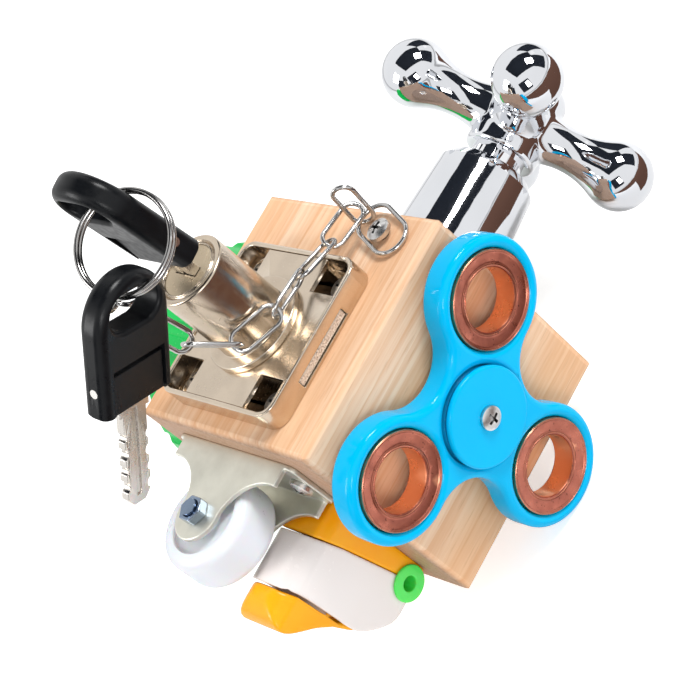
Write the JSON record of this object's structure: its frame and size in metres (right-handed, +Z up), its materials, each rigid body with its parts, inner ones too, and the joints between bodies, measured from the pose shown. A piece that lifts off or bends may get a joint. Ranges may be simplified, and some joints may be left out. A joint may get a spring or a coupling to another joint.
{
  "type": "busy cube",
  "caption": "Wooden activity cube with a tray lock and folding keys on a chain, a hand spinner, a cross-handle tap, a plate caster, a snap toy and a fluted dial.",
  "frame": {"origin": "middle of the wooden block's bare face, which the cube rests on", "axes": "+Z up, out of the lock face; +X out of the spinner face; +Y out of the tap face"},
  "size_m": [0.0946, 0.1454, 0.1332],
  "materials": {
    "pine": "satin",
    "nickel": "satin nickel plate",
    "brass": "satin",
    "steel": "satin",
    "zinc": "zinc plated",
    "chrome": "polished",
    "black_plastic": "gloss",
    "blue_plastic": "gloss",
    "copper": "satin copper",
    "white_nylon": "satin translucent",
    "orange_plastic": "gloss",
    "white_plastic": "gloss",
    "green_plastic": "gloss translucent"
  },
  "bodies": {
    "base": {"block": "pine", "lock_case": "nickel", "lock_cover": "nickel", "lock_cylinder": "nickel", "lock_screws": "steel", "chain_screw": "steel", "spinner_spacer": "steel", "bearing_inner": "steel", "spinner_cap": "blue_plastic", "spinner_screw": "steel", "tap_skirt": "chrome", "tap_valve": "steel", "caster_fork": "zinc", "caster_axle": "zinc", "caster_nut": "zinc", "caster_screws": "steel", "toy_body": "orange_plastic", "toy_cover": "white_plastic", "toy_eyelet": "green_plastic", "toy_pin": "steel", "toy_screws": "steel", "dial_hub": "steel", "dial_washer": "steel", "dial_screw": "steel"},
    "lock_plug": {"lock_plug": "brass", "lock_cam": "steel"},
    "lock_bolt": {"lock_bolt": "steel"},
    "key1_blade": {"key1_blade": "steel", "key1_base": "black_plastic"},
    "key1_head": {"key1_head": "black_plastic", "key1_pin": "steel"},
    "key_ring": {"key_ring": "steel"},
    "key2_head": {"key2_head": "black_plastic", "key2_pin": "steel"},
    "key2_blade": {"key2_blade": "steel", "key2_base": "black_plastic"},
    "chain_link_0": {"chain_link_0": "steel"},
    "chain_link_1": {"chain_link_1": "steel"},
    "chain_link_2": {"chain_link_2": "steel"},
    "chain_link_3": {"chain_link_3": "steel"},
    "chain_link_4": {"chain_link_4": "steel"},
    "chain_link_5": {"chain_link_5": "steel"},
    "chain_link_6": {"chain_link_6": "steel"},
    "chain_link_7": {"chain_link_7": "steel"},
    "chain_link_8": {"chain_link_8": "steel"},
    "chain_link_9": {"chain_link_9": "steel"},
    "spinner": {"spinner_body": "blue_plastic", "spinner_rings": "copper", "bearing_outer": "steel"},
    "bearing_balls": {"bearing_balls": "steel"},
    "tap_handle": {"tap_handle": "chrome", "tap_stem": "chrome", "tap_button": "chrome"},
    "caster_wheel": {"caster_wheel": "white_nylon"},
    "toy_jaw": {"toy_jaw": "orange_plastic"},
    "dial": {"dial": "green_plastic"}
  },
  "joints": [
    {"name": "plug_turn", "type": "hinge", "parent": "base", "child": "lock_plug", "pos_m": [0, -0.0055, 0.0883], "axis": [0, 0, 1], "range_deg": [0, 90]},
    {"name": "bolt_slide", "type": "slide", "parent": "base", "child": "lock_bolt", "axis": [1, 0, 0], "range_m": [0, 0.00701]},
    {"name": "key1_pull", "type": "slide", "parent": "lock_plug", "child": "key1_blade", "axis": [0, 0, 1], "range_m": [0, 0.02]},
    {"name": "key1_fold", "type": "hinge", "parent": "key1_blade", "child": "key1_head", "pos_m": [0, -0.0055, 0.1007], "axis": [-1, 0, 0], "range_deg": [0, 60]},
    {"name": "ring_swing", "type": "hinge", "parent": "key1_head", "child": "key_ring", "pos_m": [0.0088, -0.00691, 0.11654], "axis": [0, -0.0889, 0.996], "range_deg": [-1.5, 1.5]},
    {"name": "key2_swing", "type": "hinge", "parent": "key_ring", "child": "key2_head", "pos_m": [0.00694, -0.02263, 0.1079], "axis": [0.8929, -0.1006, -0.4389], "range_deg": [-1.5, 1.5]},
    {"name": "key2_fold", "type": "hinge", "parent": "key2_head", "child": "key2_blade", "pos_m": [0.00949, -0.03281, 0.09369], "axis": [0.2288, -0.7876, 0.5721], "range_deg": [0, 90]},
    {"name": "chain_9_swing", "type": "hinge", "parent": "key_ring", "child": "chain_link_9", "pos_m": [0.0081, -0.0232, 0.1086], "axis": [0.9064, -0.0252, -0.4217], "range_deg": [-3, 3]},
    {"name": "chain_8_swing", "type": "hinge", "parent": "chain_link_9", "child": "chain_link_8", "pos_m": [0.0018, -0.0207, 0.1001], "axis": [-0.1121, -0.9727, -0.203], "range_deg": [-3, 3]},
    {"name": "chain_0_swing", "type": "hinge", "parent": "base", "child": "chain_link_0", "pos_m": [0.016, 0.024, 0.061], "axis": [0, 0, 1], "range_deg": [-1.68, 0]},
    {"name": "chain_1_swing", "type": "hinge", "parent": "chain_link_0", "child": "chain_link_1", "pos_m": [0.0102, 0.0273, 0.0622], "axis": [0.4029, 0.9146, -0.0347], "range_deg": [-1.46, 0]},
    {"name": "chain_2_swing", "type": "hinge", "parent": "chain_link_1", "child": "chain_link_2", "pos_m": [0.009, 0.02685, 0.0646], "axis": [0.8027, 0.5862, -0.1098], "range_deg": [0, 1.82]},
    {"name": "chain_3_swing", "type": "hinge", "parent": "chain_link_2", "child": "chain_link_3", "pos_m": [0.0098, 0.0165, 0.0669], "axis": [-0.8178, 0.024, 0.5751], "range_deg": [0, 3]},
    {"name": "chain_4_swing", "type": "hinge", "parent": "chain_link_3", "child": "chain_link_4", "pos_m": [0.0105, 0.0065, 0.0698], "axis": [-0.9717, -0.1259, -0.1997], "range_deg": [-1.22, 0]},
    {"name": "chain_5_swing", "type": "hinge", "parent": "chain_link_4", "child": "chain_link_5", "pos_m": [0.0121, -0.0038, 0.0716], "axis": [-0.5597, -0.2263, -0.7972], "range_deg": [-1.59, 0]},
    {"name": "chain_6_swing", "type": "hinge", "parent": "chain_link_5", "child": "chain_link_6", "pos_m": [0.0098, -0.0141, 0.0744], "axis": [0.5284, -0.3306, -0.782], "range_deg": [0, 1.14]},
    {"name": "chain_7_swing", "type": "hinge", "parent": "chain_link_6", "child": "chain_link_7", "pos_m": [0.0057, -0.0195, 0.0822], "axis": [-0.8973, 0.0472, -0.439], "range_deg": [0, 1.21]},
    {"name": "spinner_turn", "type": "hinge", "parent": "base", "child": "spinner", "pos_m": [0.0355, 0, 0.03], "axis": [1, 0, 0], "continuous": true},
    {"name": "balls_turn", "type": "hinge", "parent": "base", "child": "bearing_balls", "pos_m": [0.0355, 0, 0.03], "axis": [1, 0, 0], "continuous": true},
    {"name": "tap_turn", "type": "hinge", "parent": "base", "child": "tap_handle", "pos_m": [0, 0.0735, 0.03], "axis": [0, 1, 0], "range_deg": [0, 180]},
    {"name": "wheel_turn", "type": "hinge", "parent": "base", "child": "caster_wheel", "pos_m": [0, -0.0463, 0.0465], "axis": [0, 0, 1], "continuous": true},
    {"name": "jaw_open", "type": "hinge", "parent": "base", "child": "toy_jaw", "pos_m": [0.0125, -0.046, 0.0114], "axis": [1, 0, 0], "range_deg": [0, 20]},
    {"name": "dial_turn", "type": "hinge", "parent": "base", "child": "dial", "pos_m": [-0.04, 0, 0.03], "axis": [-1, 0, 0], "continuous": true}
  ],
  "couplings": [
    {"joint": "bolt_slide", "follows": "plug_turn", "m_per_rad": 0.0044563},
    {"joint": "chain_0_swing", "follows": "chain_3_swing", "ratio": -0.55604},
    {"joint": "chain_1_swing", "follows": "chain_3_swing", "ratio": -0.48235},
    {"joint": "chain_2_swing", "follows": "chain_3_swing", "ratio": 0.60228},
    {"joint": "chain_4_swing", "follows": "chain_3_swing", "ratio": -0.40385},
    {"joint": "chain_5_swing", "follows": "chain_3_swing", "ratio": -0.52595},
    {"joint": "chain_6_swing", "follows": "chain_3_swing", "ratio": 0.37695},
    {"joint": "chain_7_swing", "follows": "chain_3_swing", "ratio": 0.39825},
    {"joint": "balls_turn", "follows": "spinner_turn", "ratio": 0.63774}
  ]
}
